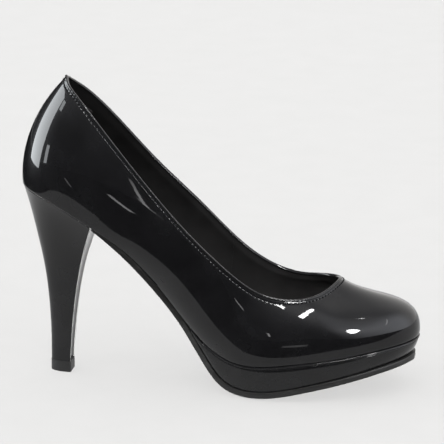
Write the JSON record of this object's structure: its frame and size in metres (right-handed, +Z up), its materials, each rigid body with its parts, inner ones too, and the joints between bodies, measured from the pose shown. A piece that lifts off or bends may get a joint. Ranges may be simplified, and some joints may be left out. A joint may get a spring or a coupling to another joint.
{
  "type": "high heel pump",
  "caption": "Closed-toe high heel pump in black patent with a bound low-cut topline, a covered platform and a tall tapered covered heel.",
  "frame": {"origin": "on the floor, under the centre of the shoe's overall box", "axes": "+X from heel to toe, +Y to the inner (medial) side, +Z up; the outer side faces -Y"},
  "size_m": [0.2198, 0.0785, 0.169],
  "materials": {
    "patent": "high gloss patent",
    "binding": "gloss",
    "thread": "waxed",
    "lining": "semi-matt",
    "suede": "suede",
    "sock": "semi-matt",
    "board": "matt",
    "tape": "woven",
    "foam": "foam",
    "filler": "matt",
    "core": "moulded",
    "sole": "satin",
    "tip": "satin",
    "steel": "plain"
  },
  "bodies": {
    "root": {"upper": "patent", "topline_binding": "binding", "topline_stitching": "thread", "vamp_lining": "lining", "quarter_lining": "lining", "heel_grip": "suede", "heel_counter": "board", "toe_puff": "board", "topline_tape": "tape", "insole_board": "board", "shank": "steel", "shank_rivets": "steel", "sock_liner": "sock", "ball_cushion": "foam", "heel_cushion": "foam", "bottom_filler": "filler", "platform_rand": "patent", "platform_core": "core", "platform_cover": "patent", "outsole": "sole", "heel_block": "core", "heel_cover": "patent", "heel_breast_cover": "patent", "heel_tube": "steel", "heel_tip": "tip", "heel_tip_pin": "steel", "heel_screw": "steel", "heel_nails": "steel"}
  },
  "joints": []
}
